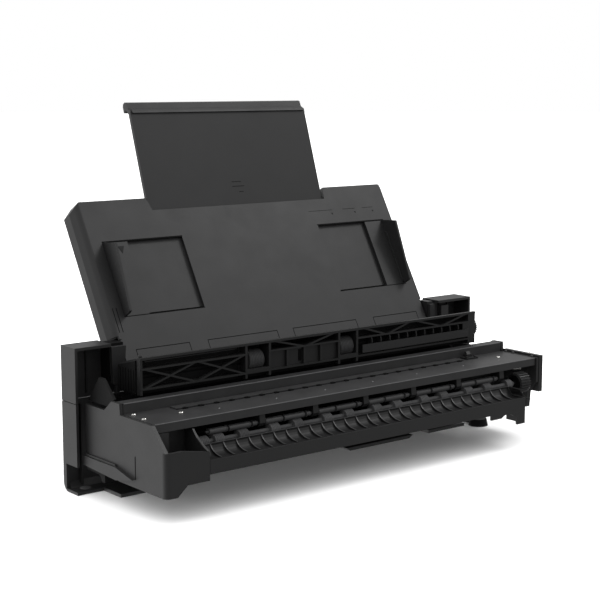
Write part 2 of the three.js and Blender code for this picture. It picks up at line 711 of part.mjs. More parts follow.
function motorPinion() {
  const phase = Math.PI + Math.PI / PINION_TEETH;
  const [x0, x1] = PICK_GEAR_SPAN;
  const bore = MOTOR_SHAFT - 0.1;
  const gear = gearX(PINION_RADIUS, PINION_TEETH, bore, x0 + 0.4, x1 - 0.4, MOTOR_AXIS, phase);
  return join(gear, rodX(MOTOR_SHAFT, MOTOR_SPAN[1] - 2, x1 - 0.2, MOTOR_AXIS, 12));
}

function driveMotor() {
  const body = rodX(MOTOR_RADIUS, ...MOTOR_SPAN, MOTOR_AXIS, 24);
  return cut(body, rodX(MOTOR_SHAFT + 0.4, MOTOR_SPAN[1] - 3, MOTOR_SPAN[1] + 1, MOTOR_AXIS, 12));
}

function controlBoard() {
  return box([-170, -70], [CASE_REAR - WALL - 6, CASE_REAR - WALL - 4.4], [-62, -10]);
}

// ------------------------------------------------------------------ load plate
// In the plate's own frame x runs across, y is depth behind its face, z up the slope.
const PLATE_MIDDLE = (PLATE_LEFT + PLATE_RIGHT) / 2;
const COVER_LOW = PLATE_LOW + 27;
const CORNER_CAP = 4;            // depth of the cap that closes a slanted corner

function plateOutline() {
  return [
    [PLATE_LEFT + FACE_INSET, PLATE_LOW], [PLATE_RIGHT - FACE_INSET, PLATE_LOW],
    [PLATE_RIGHT - FACE_INSET, PLATE_HIGH],
    [NOTCH[1] + 3, PLATE_HIGH], [NOTCH[1], NOTCH_LOW], [NOTCH[0] + 3, NOTCH_LOW],
    [NOTCH[0], PLATE_HIGH], [PLATE_LEFT + FACE_INSET, PLATE_HIGH],
  ];
}

function upSlope(outline, low, high) {
  const options = { depth: high - low, bevelEnabled: false };
  const geometry = new THREE.ExtrudeGeometry(shapeOf(outline), options);
  geometry.translate(0, 0, low);
  return geometry;
}

// Takes off what lies above a slanted corner; drop lowers the slant.
function cornerWedge(edge, sign, drop) {
  const reach = 14;
  const outline = [
    [-CORNER_INSET, 0], [reach, -reach - CORNER_INSET], [reach, reach], [-CORNER_INSET, reach],
  ];
  const points = outline.map(([out, up]) => [edge + sign * out, PLATE_HIGH - drop + up]);
  return alongY(points, -1, PLATE_RIM + 2);
}

function cornerWedges(drop) {
  return [cornerWedge(PLATE_LEFT, -1, drop), cornerWedge(PLATE_RIGHT, 1, drop)];
}

// The rim spreads outward as it runs back, like the shoulder of a shell. It is
// hollow behind and closed at the top by the slanted corner.
function plateShoulder(edge, sign) {
  const place = (outline) => outline.map(([out, depth]) => [edge + sign * out, depth]);
  const rounding = bend([-FACE_INSET - 0.5, 0], [1, 0], [3.6, 4.4], 5);
  const outer = [...rounding, [6, 8], [7, PLATE_RIM], [-WALL, PLATE_RIM], [-WALL, 1]];
  const inner = [
    [-9, 5], [-WALL, 5], [7 - WALL, PLATE_RIM], [7 - WALL, PLATE_RIM + 1], [-9, PLATE_RIM + 1],
  ];
  const block = upSlope(place(outer), COVER_LOW, PLATE_HIGH);
  const hollow = upSlope(place(inner), COVER_LOW - 1, PLATE_HIGH + 1);
  return cut(block, cut(hollow, cornerWedge(edge, sign, CORNER_CAP)));
}

function pan([left, right]) {
  return box([left - 2, right + 2], [0, PAN_DEPTH], [RECESS_LOW - 2, RECESS_HIGH + 2]);
}

function recess([left, right]) {
  return box([left, right], [-1, RECESS_DEPTH], [RECESS_LOW, RECESS_HIGH]);
}

// A slot along each recess's lower edge lets the guide's neck through.
function neckSlot([left, right]) {
  return box([left, right], [RECESS_DEPTH - 1, PAN_DEPTH + 1],
    [RECESS_LOW + NECK_SLOT[0], RECESS_LOW + NECK_SLOT[1]]);
}

// Moves a solid from the extension's frame to the plate's frame.
function fromExtension(geometry) {
  const [y, z] = [EXT_ANCHOR[0] - PLATE_ORIGIN_Y, EXT_ANCHOR[1]];
  geometry.rotateX(LEAN - EXT_LEAN);
  geometry.translate(0, y * Math.cos(LEAN) - z * Math.sin(LEAN), y * Math.sin(LEAN) + z * Math.cos(LEAN));
  return geometry;
}

function extensionClearance() {
  const along = [-EXT_BELOW - EXT_TRAVEL - 4, 40];
  return fromExtension(box([EXT_LEFT - 0.5, EXT_RIGHT + 0.5], [-0.35, 30], along));
}

const RACK_PINION_CENTRE = [PLATE_MIDDLE, 87];

function loadPlate() {
  const skin = alongY(plateOutline(), 0, PLATE_SKIN);
  const lip = (x0, x1) => box([x0, x1], [0, PLATE_RIM], [PLATE_HIGH - WALL, PLATE_HIGH]);
  const pin = rodY(2, PLATE_SKIN - 1, PAN_DEPTH + 5, RACK_PINION_CENTRE, 12);
  const whole = join(skin, pan(LEFT_RECESS), pan(RIGHT_RECESS),
    plateShoulder(PLATE_LEFT, -1), plateShoulder(PLATE_RIGHT, 1),
    lip(PLATE_LEFT + 0.7, NOTCH[0]), lip(NOTCH[1] + 3, PLATE_RIGHT - 0.7), pin);
  return cut(whole, recess(LEFT_RECESS), recess(RIGHT_RECESS), neckSlot(LEFT_RECESS),
    neckSlot(RIGHT_RECESS), extensionClearance(), ...cornerWedges(0));
}

// The cover closes the plate's back round the sleeve of the extension.
function plateRearCover() {
  const depth = [PLATE_RIM - 2, PLATE_RIM];
  const high = PLATE_HIGH - WALL - GAP;
  const across = [PLATE_LEFT - 2.8, PLATE_RIGHT + 2.8];
  const sheet = box(across, depth, [COVER_LOW, high]);
  const window = box([EXT_LEFT - 3, EXT_RIGHT + 3], [0, 30], [94, high + 1]);
  const ribs = [-170, -140, 130, 160].map((x) => box([x, x + 1.6], [PLATE_RIM - 3.5, PLATE_RIM - 1],
    [COVER_LOW + 8, high - 14]));
  return cut(join(sheet, ...ribs), window, ...cornerWedges(CORNER_CAP + 0.8));
}

function rackTeeth(x0, count, pitchLine, up) {
  const pitch = 2 * Math.PI * RACK_PINION_RADIUS / RACK_PINION_TEETH;
  const teeth = [];
  for (let i = 0; i < count; i += 1) {
    const x = x0 + i * pitch;
    const root = pitchLine - up * 1.1;
    const tip = pitchLine + up * 0.8;
    teeth.push([[x - 0.95, root], [x + 0.95, root], [x + 0.4, tip], [x - 0.4, tip]]);
  }
  return teeth;
}

// side is -1 for the left guide, whose rack runs below the pinion, and 1 for the right.
function edgeGuide(side) {
  const outer = side < 0 ? LEFT_RECESS[0] + GAP : RIGHT_RECESS[1] - GAP;
  const range = (from, to) => [outer - side * from, outer - side * to].sort((a, b) => a - b);
  const low = RECESS_LOW + GAP;
  const high = RECESS_HIGH - GAP;
  const foot = box(range(0, GUIDE_BASE), [0.3, RECESS_DEPTH - GAP], [low, high]);
  const wallX = range(0, GUIDE_SKIN);
  const wall = alongX([[RECESS_DEPTH - GAP, low], [RECESS_DEPTH - GAP, high], [-1, high],
    [-GUIDE_WALL_HIGH, high - 9], [-GUIDE_WALL_LOW, low + 1], [-GUIDE_WALL_LOW + 3, low]],
  wallX[0], wallX[1]);
  const neck = box(range(3, GUIDE_BASE - 3), [1, 7], [RECESS_LOW + NECK[0], RECESS_LOW + NECK[1]]);
  const carriage = box(range(0, GUIDE_BASE), [PAN_DEPTH + GAP, 9], [RECESS_LOW + NECK[0], 100]);
  const pitchLine = RACK_PINION_CENTRE[1] + side * (RACK_PINION_RADIUS + 0.1);
  const bar = [pitchLine + side * 1, pitchLine + side * 4.6].sort((a, b) => a - b);
  const tip = RACK_PINION_CENTRE[0] - side * 9;
  const barX = [tip, outer - side * 5].sort((a, b) => a - b);
  const rack = box(barX, [PAN_DEPTH + 0.6, 9], bar);
  const start = side < 0 ? tip - 22 * Math.PI : tip;
  const first = RACK_PINION_CENTRE[0] + Math.ceil((start - RACK_PINION_CENTRE[0] + 1) / Math.PI) * Math.PI;
  const teeth = rackTeeth(first, 22, pitchLine, -side).map((outline) => (
    alongY(outline, PAN_DEPTH + 0.6, 9)));
  return join(foot, wall, neck, carriage, rack, ...teeth);
}

function guidePinion() {
  const shape = gearShape(RACK_PINION_RADIUS, RACK_PINION_TEETH);
  shape.holes.push(new THREE.Path().absarc(0, 0, 2 + GAP, 0, 2 * Math.PI, true));
  const geometry = alongY(shape, PAN_DEPTH + 0.6, 9);
  geometry.translate(RACK_PINION_CENTRE[0], 0, RACK_PINION_CENTRE[1]);
  return geometry;
}

function plateBracket(x0, x1) {
  return alongX([[108, 14], [121.5, 14], [121.5, 46.8], [108, 46.8]], x0, x1);
}

// ------------------------------------------------------------------- extension
// Its frame has the same directions as the plate's, leaning less.
function extensionSleeve() {
  const low = -EXT_BELOW - EXT_TRAVEL - 4;
  const depth = [-0.5, EXT_THICK + 0.5];
  const outer = box([EXT_LEFT - 2.4, EXT_RIGHT + 2.4], [depth[0] - SLEEVE_WALL, depth[1] + SLEEVE_WALL],
    [low, SLEEVE_TOP]);
  const inner = box([EXT_LEFT - 0.6, EXT_RIGHT + 0.6], depth, [low + 2, SLEEVE_TOP + 1]);
  return cut(outer, inner);
}

function extension() {
  const sheet = [[0, -EXT_BELOW], [EXT_THICK, -EXT_BELOW], [EXT_THICK, EXT_ABOVE - 2]];
  const hook = [[7.2, 97.5], [7.6, 95.6], [10.6, 95.4], [10.6, 101.5], [9.2, 104], [6.4, 104.8]];
  const front = [[4.4, 103.6], [3.6, 98], [0, EXT_ABOVE]];
  return alongX([...sheet, ...hook, ...front], EXT_LEFT, EXT_RIGHT);
}

// -------------------------------------------------------------------- assembly
addPart('rear_casing_upper', 'casing', rearCasingUpper());
addPart('rear_casing_lower', 'casing', rearCasingLower());
addPart('round_foot', 'rubber', roundFoot());
addPart('left_side_arm', 'casing', armSolid());
addPart('right_side_arm', 'casing', rightArm());
addPart('left_gable_plate', 'frame', gablePlate());
addPart('left_hook_bracket', 'frame', hookBracket());
addPart('right_end_plate', 'casing', rightEndPlate());
addPart('deck_beam', 'deck', deckBeam());
addPart('deck_strip', 'deck', deckStrip());
addPart('deck_latch', 'frame', deckLatch());
addPart('front_apron', 'casing', frontApron());
addPart('bottom_pan', 'casing', bottomPan());
addPart('lower_paper_guide', 'frame', lowerPaperGuide());
addPart('paper_chute', 'frame', paperChute());
addPart('feed_shaft', 'rubber', feedShaft());
addPart('feed_gear', 'gear', feedGear());
addPart('pinch_bar', 'metal', pinchBar());
for (let group = 0; group < GROUP_COUNT; group += 1) {
  addPart(`pinch_roller_${group + 1}`, 'roller', pinchRoller(group));
  addPart(`pinch_holder_${group + 1}`, 'frame', pinchHolder(group));
}
addPart('pick_frame', 'frame', pickFrame());
addPart('frame_bar', 'casing', frameBar());
addPart('pick_shaft', 'shaft', pickShaft());
addPart('pick_roller_left', 'rubber', pickRoller(WINDOWS[0]));
addPart('pick_roller_right', 'rubber', pickRoller(WINDOWS[1]));
addPart('pick_gear', 'gear', pickGear());
addPart('motor_pinion', 'metal', motorPinion());
addPart('drive_motor', 'metal', driveMotor());
addPart('control_board', 'board', controlBoard());
addPart('left_plate_bracket', 'casing', plateBracket(-196.5, PLATE_LEFT - GAP));
addPart('right_plate_bracket', 'casing', plateBracket(PLATE_RIGHT + GAP, 186));

addPart('load_plate', 'plate', loadPlate(), plateFrame);
addPart('plate_rear_cover', 'casing', plateRearCover(), plateFrame);
addPart('left_guide', 'plate', edgeGuide(-1), plateFrame);
addPart('right_guide', 'plate', edgeGuide(1), plateFrame);
addPart('guide_pinion', 'gear', guidePinion(), plateFrame);
plateFrame.position.set(0, PLATE_ORIGIN_Y, 0);
plateFrame.rotation.x = -LEAN;

addPart('extension_sleeve', 'casing', extensionSleeve(), extensionFrame);
addPart('extension', 'plate', extension(), extensionFrame);
extensionFrame.position.set(0, EXT_ANCHOR[0], EXT_ANCHOR[1]);
extensionFrame.rotation.x = -EXT_LEAN;

assembly.add(plateFrame, extensionFrame);
assembly.updateMatrixWorld(true);
const bounds = new THREE.Box3().setFromObject(assembly, true);
assembly.position.set(0, -(bounds.min.y + bounds.max.y) / 2, -bounds.min.z);

export default assembly;
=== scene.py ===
"""Looks for the sheet feeder tray unit: materials, bevelled edges and small moulded detail."""
import json
import math

import bmesh
import bpy
from mathutils import Matrix, Vector


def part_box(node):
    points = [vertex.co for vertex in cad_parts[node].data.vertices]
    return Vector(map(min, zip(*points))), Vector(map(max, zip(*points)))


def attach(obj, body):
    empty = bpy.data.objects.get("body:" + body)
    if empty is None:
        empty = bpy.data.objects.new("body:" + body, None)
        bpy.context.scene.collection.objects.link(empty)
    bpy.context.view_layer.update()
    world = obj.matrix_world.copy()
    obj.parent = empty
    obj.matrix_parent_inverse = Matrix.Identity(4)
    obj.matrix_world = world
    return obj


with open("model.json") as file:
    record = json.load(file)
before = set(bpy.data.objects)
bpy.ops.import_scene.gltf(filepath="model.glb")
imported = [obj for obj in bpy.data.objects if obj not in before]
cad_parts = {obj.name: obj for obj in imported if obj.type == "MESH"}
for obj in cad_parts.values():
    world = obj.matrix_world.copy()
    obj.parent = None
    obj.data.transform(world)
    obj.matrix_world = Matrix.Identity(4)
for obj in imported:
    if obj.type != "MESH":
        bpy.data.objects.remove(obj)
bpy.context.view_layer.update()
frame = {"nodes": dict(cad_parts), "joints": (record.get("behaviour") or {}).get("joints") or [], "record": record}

MM = 0.001


# ------------------------------------------------------------------ places
# DECK is the middle of the deck's front top edge. Detail is placed from it in millimetres.
STEP_HEIGHT = 9.0
_low, _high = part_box("deck_beam")
DECK = Vector((0.0, _low.y, _high.z - STEP_HEIGHT * MM))


def joint_axis(name):
    return Vector(next(j["axis"] for j in frame["joints"] if j["name"] == name)).normalized()


def face_depth(node, depth):
    """How far along depth the node's nearest point lies."""
    return min(vertex.co.dot(depth) for vertex in frame["nodes"][node].data.vertices)


class Place:
    """A flat frame: x across, d behind the face, s up along it, in millimetres."""

    def __init__(self, origin, depth, up):
        self.origin, self.depth, self.up = origin, depth, up

    def matrix(self):
        columns = (Vector((1, 0, 0)), self.depth, self.up)
        turn = Matrix([[column[row] for column in columns] for row in range(3)]).to_4x4()
        return Matrix.Translation(self.origin) @ turn @ Matrix.Scale(MM, 4)


def plate_place():
    depth = -joint_axis("rack_pinion_turn")
    up = Vector((0, -depth.z, depth.y))
    face = face_depth("load_plate", depth)
    height = DECK.z
    y = (face - height * depth.z) / depth.y
    return Place(Vector((0, y, height)), depth, up)


def extension_place():
    up = -joint_axis("extension_slide")
    depth = Vector((0, up.z, -up.y))
    face = face_depth("extension", depth)
    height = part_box("extension")[1].z
    y = (face - height * depth.z) / depth.y
    return Place(Vector((0, y, height)), depth, up)


DECK_PLACE = Place(DECK, Vector((0, 1, 0)), Vector((0, 0, 1)))
PLATE_PLACE = plate_place()
EXTENSION_PLACE = extension_place()


# --------------------------------------------------------------- materials
def new_material(name):
    material = bpy.data.materials.new(name)
    material.use_nodes = True
    tree = material.node_tree
    shader = tree.nodes["Principled BSDF"]
    return material, tree, shader


def link(tree, source, target):
    tree.links.new(source, target)


def noise(tree, coordinates, scale, detail=4.0, roughness=0.55):
    node = tree.nodes.new("ShaderNodeTexNoise")
    node.inputs["Scale"].default_value = scale
    node.inputs["Detail"].default_value = detail
    node.inputs["Roughness"].default_value = roughness
    link(tree, coordinates, node.inputs["Vector"])
    return node.outputs["Fac"]


def map_range(tree, value, low, high, start=0.0, end=1.0):
    node = tree.nodes.new("ShaderNodeMapRange")
    node.interpolation_type = "SMOOTHSTEP"
    node.inputs["From Min"].default_value = start
    node.inputs["From Max"].default_value = end
    node.inputs["To Min"].default_value = low
    node.inputs["To Max"].default_value = high
    link(tree, value, node.inputs["Value"])
    return node.outputs["Result"]


def tint(tree, value, dark, light):
    node = tree.nodes.new("ShaderNodeValToRGB")
    node.color_ramp.elements[0].position = 0.3
    node.color_ramp.elements[1].position = 0.7
    node.color_ramp.elements[0].color = (*dark, 1)
    node.color_ramp.elements[1].color = (*light, 1)
    link(tree, value, node.inputs["Fac"])
    return node.outputs["Color"]


def bump(tree, height, strength, distance):
    node = tree.nodes.new("ShaderNodeBump")
    node.inputs["Strength"].default_value = strength
    node.inputs["Distance"].default_value = distance
    link(tree, height, node.inputs["Height"])
    return node.outputs["Normal"]


def scaled(colour, share):
    return tuple(channel * share for channel in colour)


def moulded(name, colour, roughness, grain=0.35, specular=0.4):
    """Moulded plastic: a fine spark-eroded grain, faint flow marks and handling haze."""
    material, tree, shader = new_material(name)
    coordinates = tree.nodes.new("ShaderNodeTexCoord").outputs["Object"]
    flow = noise(tree, coordinates, 9.0, 3.0)
    link(tree, tint(tree, flow, scaled(colour, 0.90), scaled(colour, 1.10)), shader.inputs["Base Color"])
    haze = noise(tree, coordinates, 38.0, 5.0, 0.6)
    link(tree, map_range(tree, haze, roughness - 0.06, roughness + 0.06), shader.inputs["Roughness"])
    fine = noise(tree, coordinates, 2600.0, 2.0, 0.5)
    link(tree, bump(tree, fine, grain, 0.00012), shader.inputs["Normal"])
    shader.inputs["Specular IOR Level"].default_value = specular
    return material


def powder_coat(name, colour, roughness):
    """Powder-coated sheet steel: a low orange-peel over a fine speckle."""
    material, tree, shader = new_material(name)
    coordinates = tree.nodes.new("ShaderNodeTexCoord").outputs["Object"]
    peel = noise(tree, coordinates, 620.0, 2.0)
    fleck = noise(tree, coordinates, 60.0, 6.0)
    link(tree, tint(tree, fleck, scaled(colour, 0.88), scaled(colour, 1.12)), shader.inputs["Base Color"])
    link(tree, map_range(tree, fleck, roughness - 0.07, roughness + 0.07), shader.inputs["Roughness"])
    link(tree, bump(tree, peel, 0.3, 0.0002), shader.inputs["Normal"])
    shader.inputs["Specular IOR Level"].default_value = 0.45
    return material


def rubber(name, colour):
    """Ground rubber: matt, with fine grinding marks round the roller."""
    material, tree, shader = new_material(name)
    coordinates = tree.nodes.new("ShaderNodeTexCoord").outputs["Object"]
    mapping = tree.nodes.new("ShaderNodeMapping")
    mapping.inputs["Scale"].default_value = (6.0, 1.0, 1.0)
    link(tree, coordinates, mapping.inputs["Vector"])
    marks = noise(tree, mapping.outputs["Vector"], 420.0, 4.0, 0.65)
    dust = noise(tree, coordinates, 55.0, 5.0)
    link(tree, tint(tree, dust, scaled(colour, 0.8), scaled(colour, 1.25)), shader.inputs["Base Color"])
    link(tree, map_range(tree, marks, 0.72, 0.92), shader.inputs["Roughness"])
    link(tree, bump(tree, marks, 0.45, 0.0003), shader.inputs["Normal"])
    shader.inputs["Specular IOR Level"].default_value = 0.3
    return material


def metal(name, colour, roughness, brushed=(1.0, 1.0, 1.0)):
    """Drawn or plated steel with marks along its length."""
    material, tree, shader = new_material(name)
    coordinates = tree.nodes.new("ShaderNodeTexCoord").outputs["Object"]
    mapping = tree.nodes.new("ShaderNodeMapping")
    mapping.inputs["Scale"].default_value = brushed
    link(tree, coordinates, mapping.inputs["Vector"])
    marks = noise(tree, mapping.outputs["Vector"], 900.0, 3.0)
    cloud = noise(tree, coordinates, 120.0, 4.0)
    link(tree, tint(tree, cloud, scaled(colour, 0.82), colour), shader.inputs["Base Color"])
    link(tree, map_range(tree, marks, roughness - 0.08, roughness + 0.12), shader.inputs["Roughness"])
    link(tree, bump(tree, marks, 0.25, 0.0001), shader.inputs["Normal"])
    shader.inputs["Metallic"].default_value = 1.0
    return material


def board_material(name):
    """Solder mask with paler tracks under it."""
    material, tree, shader = new_material(name)
    coordinates = tree.nodes.new("ShaderNodeTexCoord").outputs["Object"]
    tracks = tree.nodes.new("ShaderNodeTexBrick")
    tracks.inputs["Scale"].default_value = 160.0
    tracks.inputs["Color1"].default_value = (0.010, 0.060, 0.030, 1)
    tracks.inputs["Color2"].default_value = (0.012, 0.075, 0.036, 1)
    tracks.inputs["Mortar"].default_value = (0.030, 0.130, 0.070, 1)
    link(tree, coordinates, tracks.inputs["Vector"])
    link(tree, tracks.outputs["Color"], shader.inputs["Base Color"])
    grain = noise(tree, coordinates, 300.0)
    link(tree, map_range(tree, grain, 0.28, 0.42), shader.inputs["Roughness"])
    return material


def grey(value):
    return (value, value, value * 1.02)


MATERIALS = {
    "casing": moulded("casing_plastic", grey(0.018), 0.48, specular=0.50),
    "frame": moulded("frame_plastic", grey(0.014), 0.46, grain=0.2, specular=0.42),
    "deck": powder_coat("deck_coat", grey(0.031), 0.48),
    "plate": moulded("plate_plastic", grey(0.019), 0.50, specular=0.44),
    "roller_rubber": rubber("roller_rubber", grey(0.085)),
    "gear": moulded("gear_plastic", grey(0.030), 0.42, grain=0.15),
    "pinch_plastic": moulded("pinch_plastic", grey(0.060), 0.36, grain=0.12, specular=0.5),
    "steel": metal("drawn_steel", (0.40, 0.40, 0.41), 0.34, (0.2, 3.0, 3.0)),
    "board": board_material("board_mask"),
}
ZINC = metal("zinc_plate", (0.78, 0.77, 0.74), 0.26)
DARK = moulded("shadow_line", grey(0.003), 0.60, grain=0.1, specular=0.08)
# Pale grey: the board sockets' own colour, and painted highlight on the trough's rim, fin crests and end-lip edge.
PALE = moulded("pale_plastic_and_edge_highlight", grey(0.060), 0.46, grain=0.1, specular=0.5)
# Pale powder coat used as painted highlight along the deck's edges, where the bevels would catch light.
EDGE_HIGHLIGHT = powder_coat("painted_edge_highlight", grey(0.15), 0.42)
PRINT = moulded("printed_mark", grey(0.006), 0.50, grain=0.1, specular=0.2)
TROUGH = moulded("trough_plastic", grey(0.015), 0.52, grain=0.2, specular=0.26)
TYRE = rubber("pick_tyre_rubber", grey(0.040))
# Near-black plastic, partly painted shade: it darkens the gable plate, the pick shaft, and the cheek and sheets
# behind the pick frame, which lie in shadow.
NEAR_BLACK_AND_SHADE = moulded("near_black_and_painted_shade", grey(0.006), 0.58, grain=0.3, specular=0.12)
COPPER = metal("copper_strip", (0.72, 0.42, 0.26), 0.30)


# ------------------------------------------------------- carried-over nodes
def round_edges(obj, width, angle):
    edge = obj.modifiers.new("edges", "BEVEL")
    edge.width = width * MM
    edge.segments = 2
    edge.limit_method = "ANGLE"
    edge.angle_limit = math.radians(angle)
    edge.harden_normals = True


def bevelled(obj, width):
    """Merges flat facets into whole faces, then rounds the edges between them."""
    flat = obj.modifiers.new("flat_faces", "DECIMATE")
    flat.decimate_type = "DISSOLVE"
    flat.angle_limit = math.radians(0.4)
    round_edges(obj, width, 28)


BEVEL_WIDTHS = {
    "rear_casing_upper": 1.0, "rear_casing_lower": 1.0, "left_side_arm": 1.2, "right_side_arm": 0.8,
    "load_plate": 0.8, "extension": 0.8, "extension_sleeve": 0.6, "plate_rear_cover": 0.6,
    "front_apron": 0.8, "deck_beam": 0.8, "bottom_pan": 0.6, "drive_motor": 0.6,
}
DEFAULT_BEVEL = 0.35
# Near-black stands in partly for shade here: the gable plate and the pick shaft are darkened where they lie in
# shadow.
NODE_MATERIALS = {
    "lower_paper_guide": TROUGH, "left_gable_plate": NEAR_BLACK_AND_SHADE, "round_foot": NEAR_BLACK_AND_SHADE, "paper_chute": NEAR_BLACK_AND_SHADE,
    "left_plate_bracket": NEAR_BLACK_AND_SHADE, "pinch_bar": NEAR_BLACK_AND_SHADE, "left_hook_bracket": NEAR_BLACK_AND_SHADE, "pick_shaft": NEAR_BLACK_AND_SHADE,
}


def dress_nodes():
    slots = {row["node"]: row["material_slot"] for row in frame["record"]["subparts"]}
    for name, obj in frame["nodes"].items():
        obj.data.materials.clear()
        obj.data.materials.append(NODE_MATERIALS.get(name) or MATERIALS[slots[name]])
        bevelled(obj, BEVEL_WIDTHS.get(name, DEFAULT_BEVEL))


# ----------------------------------------------------------- detail builder
AXES = {"x": (0, 1, 2), "d": (1, 0, 2), "s": (2, 0, 1)}


class Detail:
    """Gathers small solids, in a place's millimetres, into one bevelled piece."""

    def __init__(self, name, material, slot, place=DECK_PLACE, body="base", bevel=0.15):
        self.name, self.material, self.slot = name, material, slot
        self.place, self.body, self.bevel = place, body, bevel
        self.work = bmesh.new()

    def point(self, axis, along, first, second):
        position = [0.0, 0.0, 0.0]
        for index, value in zip(AXES[axis], (along, first, second)):
            position[index] = value
        return self.work.verts.new(position)

    def prism(self, axis, outline, low, high):
        """Carries an outline along an axis between two levels."""
        ends = [[self.point(axis, level, *pair) for pair in outline] for level in (low, high)]
        self.loft(ends)

    def loft(self, rings):
        count = len(rings[0])
        for lower, upper in zip(rings, rings[1:]):
            for i in range(count):
                j = (i + 1) % count
                self.work.faces.new((lower[i], lower[j], upper[j], upper[i]))
        self.work.faces.new(rings[0][::-1])
        self.work.faces.new(rings[-1])

    def block(self, x, d, s):
        outline = [(d[0], s[0]), (d[1], s[0]), (d[1], s[1]), (d[0], s[1])]
        self.prism("x", outline, *x)

    def turned(self, axis, centre, stations, sides=20):
        """Turns [along, radius] stations about a line parallel to an axis."""
        rings = []
        for along, radius in stations:
            ring = []
            for i in range(sides):
                angle = 2 * math.pi * i / sides
                ring.append(self.point(axis, along, centre[0] + radius * math.cos(angle),
                                       centre[1] + radius * math.sin(angle)))
            rings.append(ring)
        self.loft(rings)

    def bar(self, axis, start, end, width, low, high):
        """A straight bar between two points of an outline's plane."""
        length = math.dist(start, end)
        u, v = (start[1] - end[1]) / length * width / 2, (end[0] - start[0]) / length * width / 2
        outline = [(start[0] + u, start[1] + v), (start[0] - u, start[1] - v),
                   (end[0] - u, end[1] - v), (end[0] + u, end[1] + v)]
        self.prism(axis, outline, low, high)

    def done(self):
        bmesh.ops.recalc_face_normals(self.work, faces=self.work.faces)
        mesh = bpy.data.meshes.new(self.name)
        self.work.to_mesh(mesh)
        self.work.free()
        mesh.transform(self.place.matrix())
        mesh.materials.append(self.material)
        obj = bpy.data.objects.new(self.name, mesh)
        bpy.context.scene.collection.objects.link(obj)
        round_edges(obj, self.bevel, 40)
        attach(obj, self.body)


def screw_up(detail, x, d, s, radius=2.0):
    """A domed head on a face that looks up."""
    detail.turned("s", (x, d), [(s - 0.2, radius), (s + 0.5, radius), (s + 1.0, radius * 0.75),
                                (s + 1.2, radius * 0.3)], 16)


def screw_out(detail, x, d, s, out, radius=2.2):
    """A domed head on a face that looks along d; out is 1 to the rear and -1 to the front."""
    steps = ((-0.2, 1.0), (0.6, 1.0), (1.1, 0.75), (1.3, 0.3))
    stations = [(d + out * rise, radius * share) for rise, share in steps]
    detail.turned("d", (x, s), stations, 16)


# -------------------------------------------------------------- deck detail
DECK_EDGE = 221
STEP_FRONT = 45.8                # the step's upright face
SURFACE_SCREWS = ((-215.7, 40), (-217.6, 21.2), (-181.2, 22.1), (194.7, 24))
END_PLATE_SCREW = (228.0, 13.1, 2.0)
RIVETS = (-147, -86.8, -32.7, 23.2, 77.6, 138.4)
RIVET_LINE = 16
STRIP_SPAN = (-178.5, 156.4)
SLOT_START, SLOT_PITCH, SLOT_COUNT = -172, 16, 21
SLOT_WIDTH = 4.6
END_BUMPS = (6, 31, 40.8)
END_BUMP_X = 223.6


def deck_fasteners():
    screws = Detail("deck_screws", ZINC, "steel")
    for x, d in SURFACE_SCREWS:
        screw_up(screws, x, d, 0.0)
    screw_up(screws, *END_PLATE_SCREW, 1.6)
    screws.done()
    rivets = Detail("deck_rivets", MATERIALS["steel"], "steel", bevel=0.08)
    for x in RIVETS:
        rivets.turned("s", (x, RIVET_LINE), [(-0.1, 0.8), (0.2, 0.7), (0.35, 0.3)], 12)
    rivets.done()


def deck_marks():
    """The strip's notches and seam, and pale strips of painted highlight along the two long edges."""
    slots = Detail("deck_slots", DARK, "deck", bevel=0.05)
    for i in range(SLOT_COUNT):
        x = SLOT_START + i * SLOT_PITCH
        slots.block((x, x + SLOT_WIDTH), (31.6, 35.0), (-0.05, 0.9))
    slots.done()
    seam = Detail("deck_strip_seam", DARK, "deck", bevel=0.05)
    seam.block(STRIP_SPAN, (32.9, 33.45), (-0.05, 0.2))
    seam.done()
    # Painted highlight: pale strips along the deck's front top edge and along the step's top edge.
    edges = Detail("deck_edge_highlights", EDGE_HIGHLIGHT, "deck", bevel=0.1)
    edges.block((-DECK_EDGE, DECK_EDGE), (-0.15, 0.35), (-0.55, 0.12))
    edges.block((-DECK_EDGE, DECK_EDGE), (STEP_FRONT + 0.02, STEP_FRONT + 0.6), (8.3, 9.1))
    edges.done()


def deck_fittings():
    latch = Detail("deck_latch_cap", MATERIALS["frame"], "frame")
    latch.prism("x", [(39, 4.0), (43, 4.0), (43, 6.2), (41, 6.6)], 167, 172)
    for x in (163, 174):
        latch.block((x, x + 2), (35, 38), (1.4, 2.6))
    latch.done()
    bumps = Detail("deck_end_bumps", MATERIALS["casing"], "casing")
    for d in END_BUMPS:
        bumps.turned("s", (END_BUMP_X, d), [(-0.4, 1.7), (0.8, 1.6), (1.6, 0.9)], 12)
    bumps.done()


# ------------------------------------------------------------ roller detail
GROUP_STARTS = [-166.5 + 57.9 * i for i in range(6)]
PAD_WIDTH = 9.5
FIRST_PAD = -178.5
PAD_OFFSETS = (3.5, 28.5)
PAD_RADIUS = 5.15
FLUTE_COUNT = 24
FLUTE_CIRCLE = 9.1
FLUTE_RADIUS = 0.45
FLUTE_SPAN = (197.6, 209.4)
RING_PROFILE = ((0.12, 0.0), (0.25, 0.35), (0.75, 0.35), (0.88, 0.0))


def joint_centre(name):
    """A hinge's axis as (d, s) in the deck's millimetres."""
    position = Vector(next(j["pos_m"] for j in frame["joints"] if j["name"] == name))
    offset = (position - DECK) / MM
    return offset.y, offset.z


def ribbed(detail, centre, x0, x1, radius, count):
    """Fine rings round a roller, as rubber has that was ground with a stepped wheel."""
    pitch = (x1 - x0) / count
    stations = [(x0 - 0.05, radius)]
    for i in range(count):
        for share, rise in RING_PROFILE:
            stations.append((x0 + (i + share) * pitch, radius + rise))
    stations.append((x1 + 0.05, radius))
    detail.turned("x", centre, stations, 32)


